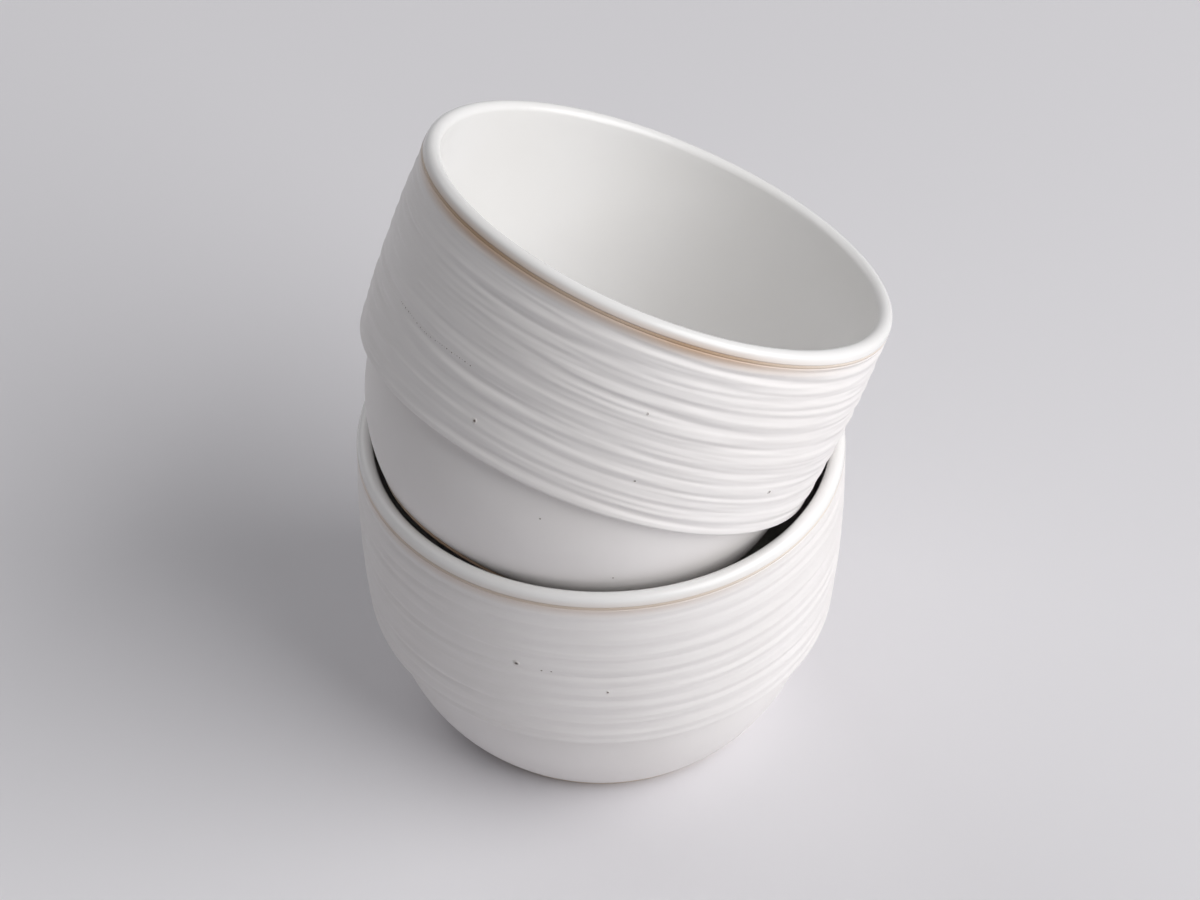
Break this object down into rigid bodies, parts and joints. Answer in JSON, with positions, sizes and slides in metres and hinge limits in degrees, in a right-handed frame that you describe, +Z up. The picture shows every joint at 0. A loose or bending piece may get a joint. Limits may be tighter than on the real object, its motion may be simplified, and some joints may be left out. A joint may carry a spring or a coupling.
{
  "type": "stacked porcelain bowls",
  "caption": "Two small ribbed white porcelain bowls without handles, the upper one leaning in the mouth of the lower one, with gloss insides, satin ribbed sides and smooth bellies.",
  "frame": {"origin": "centre of the standing bowl's foot ring, on the table", "axes": "+Z up, along the standing bowl's own axis; -Y towards the front; the upper bowl leans towards +X and a little +Y"},
  "size_m": [0.1057, 0.1041, 0.1355],
  "materials": {
    "bare_clay": "fired clay, bare and lightly toasted",
    "gloss_liner_glaze": "clear white gloss glaze",
    "satin_outer_glaze": "satin white glaze"
  },
  "bodies": {
    "lower_bowl": {"lower_bowl_body": "bare_clay", "lower_bowl_liner_glaze": "gloss_liner_glaze", "lower_bowl_outer_glaze": "satin_outer_glaze"},
    "upper_bowl": {"upper_bowl_body": "bare_clay", "upper_bowl_liner_glaze": "gloss_liner_glaze", "upper_bowl_outer_glaze": "satin_outer_glaze"}
  },
  "joints": [
    {"name": "upper_bowl_lift", "type": "slide", "parent": "lower_bowl", "child": "upper_bowl", "axis": [0.3641, 0.2607, 0.8942], "range_m": [0, 0.08]}
  ]
}
